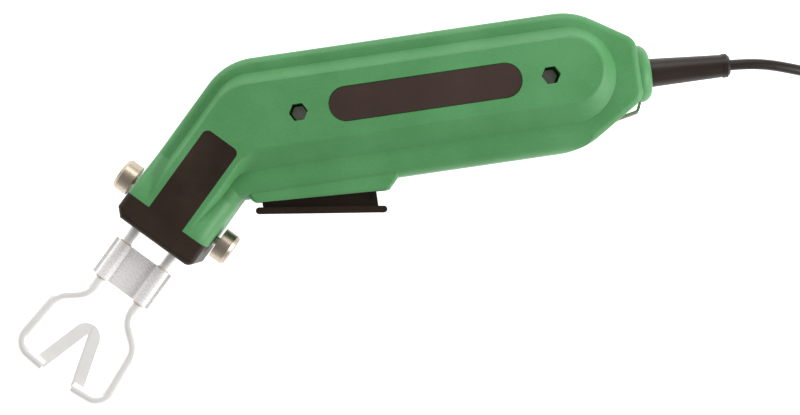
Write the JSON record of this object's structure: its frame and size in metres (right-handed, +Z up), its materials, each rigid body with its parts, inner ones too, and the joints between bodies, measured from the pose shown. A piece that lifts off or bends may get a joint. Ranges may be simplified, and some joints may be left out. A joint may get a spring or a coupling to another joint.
{
  "type": "hot wire cutter",
  "caption": "Hand-held hot knife cutter with a bent nose, a trigger, plug-in rods that carry a heated V-shaped blade, and a mains cord.",
  "frame": {"origin": "on the flat rest face of the rear shell, where the handle's axis and the nose's axis cross", "axes": "+X along the handle towards the cord, +Y towards the handle's back, +Z up out of the labelled side as the tool lies on its side"},
  "size_m": [0.4571, 0.1608, 0.046],
  "materials": {
    "housing": "satin moulded green, fine texture",
    "cap": "matt heat-resistant moulding, warm black, speckled",
    "label": "matt dark printed plate",
    "clamp_metal": "satin turned nickel plate, slightly warm",
    "brass": "machined",
    "copper": "drawn copper bar",
    "rod_metal": "polished, drawn",
    "blade_metal": "polished strip, ground bevel",
    "clip_metal": "polished pressed sheet",
    "mica": "matt",
    "trigger": "satin moulded, near black",
    "steel": "zinc plated",
    "switch": "satin",
    "plunger": "satin",
    "core": "stacked plates, oiled",
    "bobbin": "satin",
    "winding": "lacquered wire",
    "relief": "matt, soft",
    "cord": "smooth sheath",
    "lead_brown": "smooth insulation",
    "lead_blue": "smooth insulation",
    "wire": "zinc plated wire",
    "plug": "satin moulded",
    "pin_metal": "nickel plated"
  },
  "bodies": {
    "housing": {"shell_front": "housing", "shell_rear": "housing", "nose_cap": "cap", "label_plate": "label", "terminal_upper": "brass", "terminal_lower": "brass", "terminal_carrier": "cap", "secondary_bar_upper": "copper", "secondary_bar_lower": "copper", "trigger_pin": "steel", "trigger_spring": "steel", "switch_body": "switch", "transformer_core": "core", "bobbin": "bobbin", "primary_winding": "winding", "shell_screws": "steel", "shell_nuts": "steel", "bend_relief": "relief", "cord_inner": "cord", "cord_clamp": "bobbin", "cord_clamp_screws": "steel", "lead_live": "lead_brown", "lead_neutral": "lead_blue", "lead_switched": "lead_brown", "hanging_eyelet": "wire", "cord": "cord", "cord_tail": "cord", "cord_coil": "cord", "plug_body": "plug", "plug_pins": "pin_metal"},
    "trigger": {"trigger": "trigger"},
    "switch_plunger": {"switch_plunger": "plunger"},
    "clamp_screw_upper": {"clamp_screw_upper": "clamp_metal"},
    "clamp_screw_lower": {"clamp_screw_lower": "clamp_metal"},
    "blade_set": {"rod_upper": "rod_metal", "rod_lower": "rod_metal", "blade": "blade_metal", "bridge_clip_front": "clip_metal", "bridge_clip_rear": "clip_metal", "rod_insulators": "mica"}
  },
  "joints": [
    {"name": "trigger_squeeze", "type": "hinge", "parent": "housing", "child": "trigger", "pos_m": [0.01, -0.0275, 0.023], "axis": [0, 0, 1], "range_deg": [0, 6], "stiffness_Nm_per_rad": 1.2, "springref_deg": -8.59, "deforming": ["trigger_spring"]},
    {"name": "switch_press", "type": "slide", "parent": "housing", "child": "switch_plunger", "axis": [0, 1, 0], "range_m": [0, 0.00245]},
    {"name": "clamp_screw_upper_turn", "type": "hinge", "parent": "housing", "child": "clamp_screw_upper", "pos_m": [-0.04959, -0.01371, 0.023], "axis": [-0.7169, 0.6972, 0], "continuous": true},
    {"name": "clamp_screw_lower_turn", "type": "hinge", "parent": "housing", "child": "clamp_screw_lower", "pos_m": [-0.01231, -0.04996, 0.023], "axis": [0.7169, -0.6972, 0], "continuous": true},
    {"name": "blade_set_pull", "type": "slide", "parent": "housing", "child": "blade_set", "axis": [-0.6972, -0.7169, 0], "range_m": [0, 0.028]}
  ],
  "couplings": [
    {"joint": "switch_press", "follows": "trigger_squeeze", "m_per_rad": 0.02302}
  ]
}
